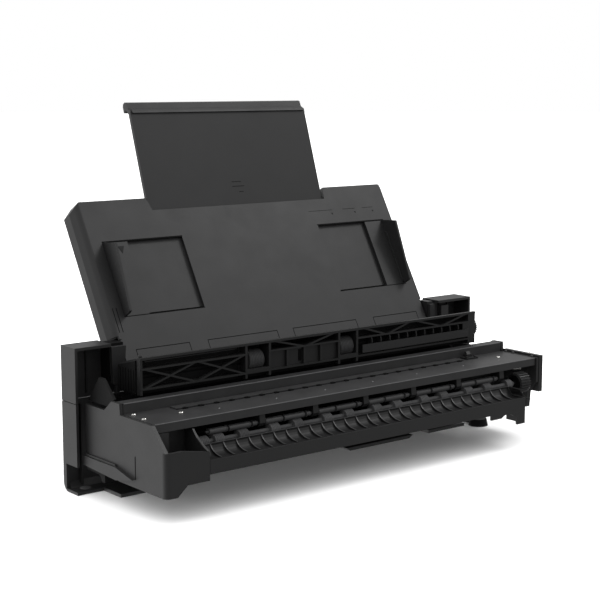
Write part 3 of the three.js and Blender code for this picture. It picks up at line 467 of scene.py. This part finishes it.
def feed_detail():
    centre = joint_centre("feed_roller_spin")
    pads = Detail("feed_pad_faces", MATERIALS["roller_rubber"], "roller_rubber",
                  body="feed_roller", bevel=0.03)
    for start in [FIRST_PAD] + [group + offset for group in GROUP_STARTS for offset in PAD_OFFSETS]:
        ribbed(pads, centre, start, start + PAD_WIDTH, PAD_RADIUS, 6)
    pads.done()
    disc = Detail("feed_gear_disc", DARK, "gear", body="feed_roller")
    disc.turned("x", centre, [(196.2, 7.0), (196.2, 7.6), (197.1, 7.8)], 28)
    disc.turned("x", centre, [(194.6, 3.4), (196.3, 3.6)], 20)
    disc.done()
    flutes = Detail("feed_gear_flutes", MATERIALS["gear"], "gear", body="feed_roller", bevel=0.1)
    for i in range(FLUTE_COUNT):
        angle = 2 * math.pi * (i + 0.5) / FLUTE_COUNT
        place = (centre[0] + FLUTE_CIRCLE * math.cos(angle), centre[1] + FLUTE_CIRCLE * math.sin(angle))
        flutes.turned("x", place, [(x, FLUTE_RADIUS) for x in FLUTE_SPAN], 6)
    flutes.done()


GUIDE_HALF = 181.5
FIN_STARTS = [-170 + 13.05 * i for i in range(27)]
FIN_CURVE = ((-2.4, -23.0), (-6, -30.2), (-18.2, -30.6))
END_LIP_CURVE = ((181.2, -22.8), (183.6, -26.4), (187, -30.4), (191, -33.2), (196.4, -34.6))
CHUTE_RIB_START, CHUTE_RIB_PITCH, CHUTE_RIB_COUNT = -160, 40, 9


def curve_points(curve, steps):
    """Points of a quadratic curve given by its ends and control point."""
    points = []
    for i in range(steps + 1):
        t = i / steps
        weights = ((1 - t) ** 2, 2 * t * (1 - t), t * t)
        points.append(tuple(sum(w * p[axis] for w, p in zip(weights, curve)) for axis in (0, 1)))
    return points


def bars_along(detail, axis, points, width, low, high):
    for start, end in zip(points, points[1:]):
        detail.bar(axis, start, end, width, low, high)


def trough_detail():
    """Painted highlights on the trough's rim, fin crests and end-lip edge, and the dark walls round its ends."""
    # Painted highlight: pale crescents along each fin's crest.
    crests = Detail("trough_fin_crests", PALE, "frame", bevel=0.05)
    points = curve_points(FIN_CURVE, 8)
    outline = [(d, z + 0.25) for d, z in points] + [(d, z - 0.3) for d, z in reversed(points)]
    for x in FIN_STARTS:
        crests.prism("x", outline, x, x + 1.0)
    crests.done()
    # Painted highlight along the trough's rim.
    rim = Detail("trough_rim", PALE, "frame", bevel=0.1)
    rim.prism("x", [(-3.0, -22.9), (-3.0, -22.35), (-2.0, -22.5), (-2.0, -23.0)], -GUIDE_HALF, GUIDE_HALF)
    rim.done()
    wall = Detail("chute_wall", NEAR_BLACK_AND_SHADE, "frame")
    wall.block((-181, 184), (30, 31.2), (-40, -19.5))
    for i in range(CHUTE_RIB_COUNT):
        x = CHUTE_RIB_START + i * CHUTE_RIB_PITCH
        wall.block((x, x + 1.4), (26, 30.2), (-40, -22))
    wall.done()
    lip = Detail("trough_end_lip", TROUGH, "frame")
    bars_along(lip, "d", END_LIP_CURVE, 1.2, -18.4, -3.2)
    lip.done()
    # Painted highlight along the end lip's edge.
    edge = Detail("trough_end_edge", PALE, "frame", bevel=0.1)
    bars_along(edge, "d", END_LIP_CURVE, 1.5, -3.6, -2.9)
    edge.done()
    pin = Detail("drive_side_pin", ZINC, "steel")
    pin.turned("x", (11, -10.5), [(202, 1.1), (210.5, 1.1), (211.4, 1.6), (212.6, 1.6)], 16)
    pin.done()


PINCH_RINGS = (0.6, 17.4, 20.6, 41.4, 44.6)
PINCH_RING = ((-0.45, 2.6), (-0.3, 2.95), (0.3, 2.95), (0.45, 2.6))
SPRING_LINE = (12.5, -5.2)
SPRING_START, SPRING_PITCH, SPRING_TURNS = 52.2, 1.1, 4


def pinch_detail():
    for i, start in enumerate(GROUP_STARTS):
        centre = joint_centre(f"pinch_{i + 1}_spin")
        rings = Detail(f"pinch_rings_{i + 1}", MATERIALS["pinch_plastic"], "pinch_plastic",
                       body=f"pinch_{i + 1}", bevel=0.05)
        for offset in PINCH_RINGS:
            rings.turned("x", centre, [(start + offset + along, radius) for along, radius in PINCH_RING], 24)
        rings.done()
    springs = Detail("pinch_springs", MATERIALS["steel"], "steel", bevel=0.05)
    for start in GROUP_STARTS:
        for turn in range(SPRING_TURNS):
            x = start + SPRING_START + turn * SPRING_PITCH
            springs.turned("x", SPRING_LINE, [(x, 1.7), (x + 0.25, 2.0), (x + 0.5, 1.7)], 14)
    springs.done()


# -------------------------------------------------------- pick frame detail
FRAME_FRONT = 58.0
ARCH_START, ARCH_PITCH, ARCH_COUNT = 60, 11.4, 12
FRAME_NOTCHES = (-170, -128, -104, -48, -12, 62, 104, 146)
LATTICE_SPANS = ((-190, -90), (43.5, 187))
CHEEK_LEFT = -198.3
CHEEK_RIBS, CHEEK_RIB_PITCH = 6, 4.2
PICK_ROLLERS = (("left", -74.25), ("right", 30.25))
TYRE_HALF = 7.5
TYRE_RADIUS = 8.95
HUB_HALF = 9.4


def pick_frame_detail():
    front = FRAME_FRONT
    arches = Detail("pick_frame_arches", MATERIALS["frame"], "frame")
    arch = [(front + 0.9, 25.2), (front + 4.5, 22.5), (front + 9.2, 22.5), (front + 9.2, 31.3),
            (front + 2.2, 31.3), (front + 1.2, 28.4)]
    for i in range(ARCH_COUNT):
        x = ARCH_START + i * ARCH_PITCH
        arches.prism("x", arch, x, x + 1.2)
    arches.done()
    lips = Detail("pick_frame_lips", MATERIALS["frame"], "frame")
    lips.block((-190, -92), (front + 6.0, front + 7.2), (12.0, 13.6))
    lips.block((44, 187), (front + 6.0, front + 7.2), (12.0, 13.6))
    lips.block((-188, -92), (front + 7.4, front + 8.8), (36.0, 37.2))
    lips.done()
    marks = Detail("pick_frame_notches", DARK, "frame", bevel=0.05)
    for x in FRAME_NOTCHES:
        marks.block((x, x + 5), (front + 7.2, front + 7.8), (9.9, 11.8))
    marks.block((-27, -23.5), (front + 2.6, front + 3.1), (18.5, 29.0))
    marks.done()
    knob_and_shade_sheets(front)


def knob_and_shade_sheets(front):
    """Near-black sheets of painted shade behind the lattice, the ribbed left cheek in painted shade, and the knob
    on the roof.
    """
    # Painted shade: thin near-black sheets behind the lattice and along the frame's foot.
    shade = Detail("pick_frame_shade_sheets", NEAR_BLACK_AND_SHADE, "frame", bevel=0.1)
    for span in LATTICE_SPANS:
        for height in ((16.0, 30.7), (32.9, 38.6)):
            shade.block(span, (front + 8.55, front + 8.95), height)
    shade.block((-196.9, 195), (front + 7.0, front + 7.5), (9.9, 13.9))
    shade.done()
    # Painted shade: a near-black ribbed panel over the frame's left end, which lies in shadow.
    cheek = Detail("pick_frame_cheek", NEAR_BLACK_AND_SHADE, "frame")
    cheek.prism("x", [(front + 6, 10.2), (front + 33.5, 10.2), (front + 33.5, 31.6), (front + 6, 39.0)],
                CHEEK_LEFT, CHEEK_LEFT + 1.1)
    for i in range(CHEEK_RIBS):
        d = front + 8 + i * CHEEK_RIB_PITCH
        cheek.block((CHEEK_LEFT - 0.6, CHEEK_LEFT + 0.1), (d, d + 1.4), (11, 31))
    cheek.done()
    knob = Detail("pick_frame_knob", MATERIALS["frame"], "frame")
    knob.turned("s", (-193.2, front + 6), [(39.6, 1.6), (42.4, 1.6), (43.4, 1.0)], 16)
    knob.block((179.5, 188.0), (front + 0.15, front + 1.0), (24.6, 31.8))
    knob.done()


def pick_roller_detail():
    centre = joint_centre("pick_roller_spin")
    for side, middle in PICK_ROLLERS:
        tyre = Detail(f"pick_tyre_{side}", TYRE, "roller_rubber", body="pick_rollers", bevel=0.04)
        ribbed(tyre, centre, middle - TYRE_HALF, middle + TYRE_HALF, TYRE_RADIUS, 9)
        tyre.done()
        hub = Detail(f"pick_hub_{side}", MATERIALS["gear"], "gear", body="pick_rollers")
        hub.turned("x", centre, [(middle - HUB_HALF, 4.8), (middle - TYRE_HALF, 5.4)], 20)
        hub.turned("x", centre, [(middle + TYRE_HALF, 5.4), (middle + HUB_HALF, 4.8)], 20)
        hub.done()


# -------------------------------------------------------------- tray detail
TABS = ((-167.5, -111), (-91.5, -12), (6.5, 85.4), (107.5, 166))
TAB_LOW, TAB_HIGH = 31.8, 43.4
LINE_WIDTH = 0.6
RECESSES = ((-168.4, -83.2), (79.2, 166.0))
RECESS_LOW, RECESS_HIGH = 75.2, 146.3
FOOT_WIDTH = 25.6
SHEET_LINES = ((74, 104), (118, 134), (144, 158))
SHEET_LINE_HEIGHT = 161.6
BACK_FACE = (16.6, 18.0)
BACK_RIBS = (-176, -155, -124, 114, 146, 170)
BACK_CROSS_RIBS = (72, 98, 166)
BACK_SCREWS = ((-165, 85), (-133, 150), (123, 150), (158, 85))


def tray_face_detail():
    lines = Detail("tray_tab_lines", DARK, "plate", PLATE_PLACE, bevel=0.04)
    for left, right in TABS:
        lines.block((left, right), (-0.1, 0.4), (TAB_HIGH, TAB_HIGH + 0.7))
        for x in (left, right - LINE_WIDTH):
            lines.block((x, x + LINE_WIDTH), (-0.1, 0.4), (TAB_LOW, TAB_HIGH))
    for left, right in RECESSES:
        for height in ((RECESS_HIGH - 0.1, RECESS_HIGH + 1.1), (RECESS_LOW - 0.6, RECESS_LOW + 0.05)):
            lines.block((left - 0.4, right + 0.4), (-0.12, 0.4), height)
    for x in (-178.6, -174.9):
        lines.block((x, x + 0.7), (-0.1, 0.4), (61, 84))
    lines.done()
    marks = Detail("tray_marks", PRINT, "plate", PLATE_PLACE, bevel=0.03)
    for span in SHEET_LINES:
        marks.block(span, (-0.12, 0.3), (SHEET_LINE_HEIGHT, SHEET_LINE_HEIGHT + 0.5))
    for _, x in SHEET_LINES:
        marks.prism("d", [(x - 2.4, 158.6), (x + 0.2, 158.6), (x - 1.1, 156.4)], -0.12, 0.3)
    marks.done()
    catch = Detail("tray_catch", MATERIALS["plate"], "plate", PLATE_PLACE)
    catch.prism("s", [(-181.4, 0.5), (-178.6, 0.5), (-178.9, -1.6), (-181.2, -1.6)], 54.5, 58.5)
    catch.done()


def tray_back_detail():
    ribs = Detail("tray_back_ribs", MATERIALS["casing"], "casing", PLATE_PLACE)
    for x in BACK_RIBS:
        ribs.block((x, x + 1.4), BACK_FACE, (66, 168))
    for s in BACK_CROSS_RIBS:
        for span in ((-176, -124), (114, 171)):
            ribs.block(span, BACK_FACE, (s, s + 1.4))
    ribs.done()
    screws = Detail("tray_back_screws", ZINC, "steel", PLATE_PLACE)
    for x, s in BACK_SCREWS:
        screw_out(screws, x, 17.0, s, 1)
    screws.done()


def guide_detail():
    left, right = RECESSES[0][0] + 0.3, RECESSES[1][1] - 0.3
    mark = Detail("left_guide_mark", PRINT, "plate", PLATE_PLACE, "left_edge_guide", 0.02)
    centre = left + 17.5
    mark.prism("d", [(centre - 3.4, 141.8), (centre + 3.4, 141.8), (centre, 134.6)], 0.12, 0.5)
    mark.done()
    for side, outer, inward in (("left", left, 1), ("right", right, -1)):
        ridge = Detail(f"{side}_guide_ridge", MATERIALS["plate"], "plate", PLATE_PLACE, f"{side}_edge_guide")
        span = sorted((outer + inward * 2.1, outer + inward * 3.6))
        ridge.prism("x", [(0.5, 77), (-1.2, 77.5), (-3.0, 132), (0.5, 134)], *span)
        ridge.done()
    line = Detail("right_guide_line", DARK, "plate", PLATE_PLACE, "right_edge_guide", 0.02)
    inner = right - FOOT_WIDTH
    line.block((inner, inner + 0.7), (0.15, 0.6), (RECESS_LOW + 0.5, RECESS_HIGH - 0.5))
    line.done()


LEDGE_SPAN = (-106.5, 96.3)
LEDGE_TOP = -7.2
SIZE_LINES = ((-9, 2, -80.5), (-9, 5, -85), (-2, 3, -90.5))
EXTENSION_RIBS = (-104, -64, -26, 14, 52, 92)


def extension_detail():
    top = LEDGE_TOP
    ledge = Detail("extension_ledge", MATERIALS["plate"], "plate", EXTENSION_PLACE, "extension_tray")
    outline = [(0.6, top - 3.4), (-1.5, top - 3.1), (-1.1, top - 1.2), (0.9, top + 1.5)]
    ledge.prism("x", outline, *LEDGE_SPAN)
    ledge.done()
    mark = Detail("extension_mark", PRINT, "plate", EXTENSION_PLACE, "extension_tray", 0.03)
    for x0, x1, s in SIZE_LINES:
        mark.block((x0, x1), (-0.12, 0.3), (s, s + 0.7))
    mark.done()
    ribs = Detail("extension_back_ribs", MATERIALS["plate"], "plate", EXTENSION_PLACE, "extension_tray")
    for x in EXTENSION_RIBS:
        ribs.block((x, x + 1.6), (3.2, 3.75), (-98, -12))
    ribs.done()


# ------------------------------------------------------- casing and arm detail
CASING_BACK = 124.6
COLUMN = ((-197.6, 44.9), (-183, 44.9), (-184.6, 24), (-186.5, 13), (-189.6, 11.6), (-190.4, 3),
          (-193, 3), (-193.6, 11.6), (-196.2, 13), (-197, 24))
UPPER_RIBS = (-224, -212, 208, 219)
LOWER_RIBS = (-220, -180, -120, 0, 60, 120, 180, 218)
VENT_ROWS = (-150, 40)
VENTS_IN_ROW, VENT_PITCH, VENT_WIDTH = 14, 7.5, 3.6
CASING_SCREWS = ((-218, -12), (-70, -12), (20, -12), (216, -12), (-218, 30), (216, 30))
FLOOR_PADS = (-220, -80, 80, 222)


def casing_front_detail():
    columns = Detail("casing_columns", MATERIALS["casing"], "casing")
    columns.prism("d", COLUMN, 101.8, 106.0)
    columns.block((179.2, 185.6), (104.5, 107.7), (16, 44.5))
    columns.block((193.6, 203.7), (103.0, 108.0), (32, 42))
    columns.done()
    ribs = Detail("casing_inner_ribs", MATERIALS["frame"], "frame")
    for x in UPPER_RIBS:
        ribs.block((x, x + 1.6), (120.5, 122.8), (4, 44.9))
    for x in LOWER_RIBS:
        ribs.block((x, x + 1.8), (117.5, 122.8), (-75, -4))
    ribs.done()


def casing_back_detail():
    vents = Detail("casing_back_vents", DARK, "casing", bevel=0.1)
    for row in VENT_ROWS:
        for i in range(VENTS_IN_ROW):
            x = row + i * VENT_PITCH
            vents.block((x, x + VENT_WIDTH), (CASING_BACK, 125.15), (-60, -32))
    vents.done()
    frames = Detail("casing_back_frames", MATERIALS["casing"], "casing")
    for row in VENT_ROWS:
        for height in ((-65.5, -63.5), (-28.5, -26.5)):
            frames.block((row - 5, row + 106), (124.5, 126.2), height)
    for x in (-231, -205, 203, 229):
        frames.block((x, x + 1.6), (124.5, 126.0), (-64, 40))
    frames.done()
    screws = Detail("casing_back_screws", ZINC, "steel")
    for x, s in CASING_SCREWS:
        screw_out(screws, x, 124.9, s, 1)
    screws.done()
    pads = Detail("casing_floor_pads", MATERIALS["roller_rubber"], "roller_rubber")
    for x in FLOOR_PADS:
        pads.turned("s", (x, 112), [(-78.95, 5.0), (-76.6, 5.4), (-76.0, 4.6)], 24)
    pads.done()


CURVED_RIB = ((-20.6, -23.2), (-14, -20.6), (-7, -16.8), (-1.5, -11.2), (0.6, -8.9))
POST_RIGHT = 186.6
POST_ROUND = 2.6
POST_MIDDLE = -18.2


def arm_detail():
    lines = Detail("arm_seams", DARK, "casing", bevel=0.04)
    for x in (-225.45, 225.0):
        lines.block((x, x + 0.45), (23.0, 23.7), (-49, -30))
    lines.done()
    rib = Detail("arm_curved_rib", MATERIALS["casing"], "casing", bevel=0.1)
    bars_along(rib, "x", CURVED_RIB, 0.9, -185.3, -183.4)
    rib.done()
    shelf = Detail("arm_ledge_step", MATERIALS["casing"], "casing")
    for sign in (-1, 1):
        span = sorted((sign * 225.0, sign * 227.0))
        shelf.prism("x", [(52, -42.2), (99.8, -42.2), (99.8, -44.6), (50, -44.6)], *span)
    shelf.done()


def apron_detail():
    """The rounded post at the apron's right end."""
    post = Detail("apron_end_post", MATERIALS["casing"], "casing", bevel=0.3)
    angles = [math.radians(-90 + 15 * step) for step in range(7)]
    arc = [(POST_RIGHT + POST_ROUND * math.cos(a) - POST_ROUND, POST_MIDDLE + POST_ROUND * math.sin(a))
           for a in angles]
    outline = [(178.0, -18.6), (178.0, -20.9), *arc, (POST_RIGHT, -2), (184.6, -2), (184.6, -18.6)]
    post.prism("s", outline, -55.6, -31.6)
    post.done()


# --------------------------------------------------------------- inner works
BOARD_DEPTH = (114.8, 116.7)
CHIPS = ((-160, -50, 14, 14), (-138, -46, 9, 6), (-120, -54, 6, 9), (-104, -44, 12, 8), (-88, -56, 8, 8),
         (-160, -28, 8, 5), (-140, -26, 10, 7))
SOCKETS = (-122, -106, -90)
PAN_SCREW_COLUMNS = (-172, -60, 60, 172)
PAN_SCREW_ROWS = (4, 90)


def inner_works():
    """Motor, board and underside parts, which show from the sides, the back and below."""
    centre = joint_centre("pinion_spin")
    motor = Detail("motor_end_cap", ZINC, "steel", bevel=0.2)
    motor.turned("x", centre, [(170.2, 2.4), (170.4, 2.8), (171.2, 2.8), (171.2, 6.4), (172.3, 7.0)], 32)
    motor.done()
    ring = Detail("motor_band", COPPER, "steel", bevel=0.1)
    ring.turned("x", centre, [(179.8, 7.45), (180.0, 7.6), (184.0, 7.6), (184.2, 7.45)], 32)
    ring.done()
    chips = Detail("board_parts", MATERIALS["gear"], "board", bevel=0.1)
    for x, s, width, height in CHIPS:
        chips.block((x, x + width), BOARD_DEPTH, (s, s + height))
    chips.done()
    sockets = Detail("board_sockets", PALE, "board")
    for x in SOCKETS:
        sockets.block((x, x + 12), (112.6, 116.7), (-22, -15))
    sockets.done()
    screws = Detail("bottom_pan_screws", ZINC, "steel")
    for x in PAN_SCREW_COLUMNS:
        for d in PAN_SCREW_ROWS:
            screws.turned("s", (x, d), [(-43.6, 0.8), (-43.3, 1.8), (-42.4, 2.0)], 16)
    screws.done()


# --------------------------------------------------------- camera and light
VIEW_AZIMUTH = -38.79
VIEW_ELEVATION = 8.72
CAMERA_FROM_DECK = Vector((-826.4, -936.2, 270.0))
CAMERA_LENS = 86.38


def direction(azimuth, elevation):
    """The way a camera looks: azimuth 0 is along +Y, and a positive elevation looks down."""
    a, e = math.radians(azimuth), math.radians(elevation)
    return Vector((-math.sin(a) * math.cos(e), math.cos(a) * math.cos(e), -math.sin(e)))


def make_camera():
    data = bpy.data.cameras.new("camera")
    data.lens = CAMERA_LENS
    data.sensor_width = 36.0
    camera = bpy.data.objects.new("camera", data)
    bpy.context.scene.collection.objects.link(camera)
    camera.location = DECK + CAMERA_FROM_DECK * MM
    look = direction(VIEW_AZIMUTH, VIEW_ELEVATION)
    camera.rotation_euler = look.to_track_quat("-Z", "Y").to_euler()
    bpy.context.scene.camera = camera


def area_light(name, place, size, power, target):
    data = bpy.data.lights.new(name, "AREA")
    data.shape = "RECTANGLE"
    data.size, data.size_y = size
    data.energy = power
    light = bpy.data.objects.new(name, data)
    bpy.context.scene.collection.objects.link(light)
    light.location = place
    light.rotation_euler = (target - Vector(place)).to_track_quat("-Z", "Y").to_euler()
    return light


FLOOR_RADIUS = 14.0
FLOOR_SUN = 3.1
SHADOW_FILL = 0.65      # share of the floor's light that the object casts no shadow in
ROOM_LEVEL = 0.30
ROOM_ABOVE = 0.50
ROOM_SIDE = 0.80
LIT_SIDE = (-0.62, 0.78, 0.08)


def facing(tree, coordinates, way):
    node = tree.nodes.new("ShaderNodeVectorMath")
    node.operation = "DOT_PRODUCT"
    node.inputs[1].default_value = way
    link(tree, coordinates, node.inputs[0])
    return node.outputs["Value"]


def added(tree, first, second):
    node = tree.nodes.new("ShaderNodeMath")
    link(tree, first, node.inputs[0])
    if isinstance(second, float):
        node.inputs[1].default_value = second
    else:
        link(tree, second, node.inputs[1])
    return node.outputs["Value"]


def make_world():
    """A pale tent round the object, brightest above and at the left rear, and plain white to the camera."""
    world = bpy.data.worlds.new("studio")
    bpy.context.scene.world = world
    world.use_nodes = True
    tree = world.node_tree
    room = tree.nodes["Background"]
    room.inputs["Color"].default_value = (1, 1, 1, 1)
    way = tree.nodes.new("ShaderNodeTexCoord").outputs["Generated"]
    above = map_range(tree, facing(tree, way, (0, 0, 1)), 0.0, ROOM_ABOVE, 0.0, 0.45)
    side = map_range(tree, facing(tree, way, LIT_SIDE), 0.0, ROOM_SIDE, 0.2, 0.9)
    link(tree, added(tree, added(tree, above, side), ROOM_LEVEL), room.inputs["Strength"])
    backdrop = tree.nodes.new("ShaderNodeBackground")
    backdrop.inputs["Color"].default_value = (1, 1, 1, 1)
    mix = tree.nodes.new("ShaderNodeMixShader")
    seen = tree.nodes.new("ShaderNodeLightPath").outputs["Is Camera Ray"]
    link(tree, seen, mix.inputs["Fac"])
    link(tree, room.outputs["Background"], mix.inputs[1])
    link(tree, backdrop.outputs["Background"], mix.inputs[2])
    link(tree, mix.outputs["Shader"], tree.nodes["World Output"].inputs["Surface"])


def make_stage():
    mesh = bpy.data.meshes.new("floor")
    work = bmesh.new()
    bmesh.ops.create_circle(work, cap_ends=True, radius=FLOOR_RADIUS, segments=96)
    work.to_mesh(mesh)
    work.free()
    floor = bpy.data.objects.new("floor", mesh)
    bpy.context.scene.collection.objects.link(floor)
    material, tree, shader = new_material("floor_paint")
    shader.inputs["Base Color"].default_value = (0.93, 0.93, 0.93, 1)
    shader.inputs["Roughness"].default_value = 0.9
    shader.inputs["Specular IOR Level"].default_value = 0.1
    mesh.materials.append(material)
    floor.visible_glossy = False
    floor.visible_diffuse = False
    light_floor(floor)


def light_floor(floor):
    """A wide overhead light for the floor alone, so that it reads as white paper."""
    receivers = bpy.data.collections.new("floor_only")
    receivers.objects.link(floor)
    for name, share in (("floor_light", 1 - SHADOW_FILL), ("floor_fill", SHADOW_FILL)):
        data = bpy.data.lights.new(name, "SUN")
        data.energy = FLOOR_SUN * share
        data.angle = math.radians(120)
        light = bpy.data.objects.new(name, data)
        bpy.context.scene.collection.objects.link(light)
        light.light_linking.receiver_collection = receivers
    light.light_linking.blocker_collection = receivers


def make_lights():
    middle = Vector((0.0, 0.0, 0.14))
    area_light("key", (1.5, -0.5, 1.9), (0.7, 0.7), 14.0, middle)
    area_light("side", (-1.7, 1.45, 0.45), (1.5, 1.3), 2.4, middle)


bpy.context.scene.view_settings.view_transform = "Standard"
make_camera()
make_world()
make_stage()
make_lights()
dress_nodes()
for make_detail in (
    deck_fasteners, deck_marks, deck_fittings,
    feed_detail, trough_detail, pinch_detail,
    pick_frame_detail, pick_roller_detail,
    tray_face_detail, tray_back_detail, guide_detail, extension_detail,
    casing_front_detail, casing_back_detail, arm_detail, apron_detail, inner_works,
):
    make_detail()
